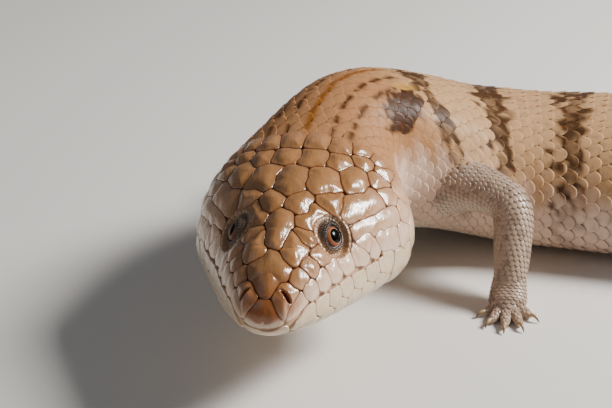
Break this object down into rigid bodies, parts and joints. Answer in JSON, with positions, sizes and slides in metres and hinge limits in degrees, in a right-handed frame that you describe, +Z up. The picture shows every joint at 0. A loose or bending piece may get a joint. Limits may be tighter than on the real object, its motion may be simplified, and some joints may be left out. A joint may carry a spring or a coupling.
{
  "type": "blue tongued skink",
  "caption": "Life-size still model of a blue tongued skink, standing alert with its head raised on its forelegs and its belly and tail on the floor.",
  "frame": {"origin": "the flat under the belly where the spine passes over it, about two fifths of the way from snout to tail, at floor level", "axes": "+Z up; the snout points along -Y; +X is the animal's left"},
  "size_m": [0.3131, 0.326, 0.0562],
  "materials": {
    "head_skin": "glossy horn shields, olive tan",
    "jaw_skin": "satin horn shields, pinkish cream",
    "body_skin": "satin overlapping scales, pinkish tan with dark brown bands",
    "leg_skin": "satin fine scales, greyish tan",
    "eye": "wet gloss, rust-brown iris"
  },
  "bodies": {
    "root": {"head": "head_skin", "lower_jaw": "jaw_skin", "eye_left": "eye", "eye_right": "eye", "neck": "body_skin", "torso_front": "body_skin", "torso_middle": "body_skin", "torso_rear": "body_skin", "tail_base": "body_skin", "tail_middle": "body_skin", "tail_tip": "body_skin", "foreleg_left": "leg_skin", "forefoot_left": "leg_skin", "foreleg_right": "leg_skin", "forefoot_right": "leg_skin", "hindleg_left": "leg_skin", "hindfoot_left": "leg_skin", "hindleg_right": "leg_skin", "hindfoot_right": "leg_skin"}
  },
  "joints": []
}
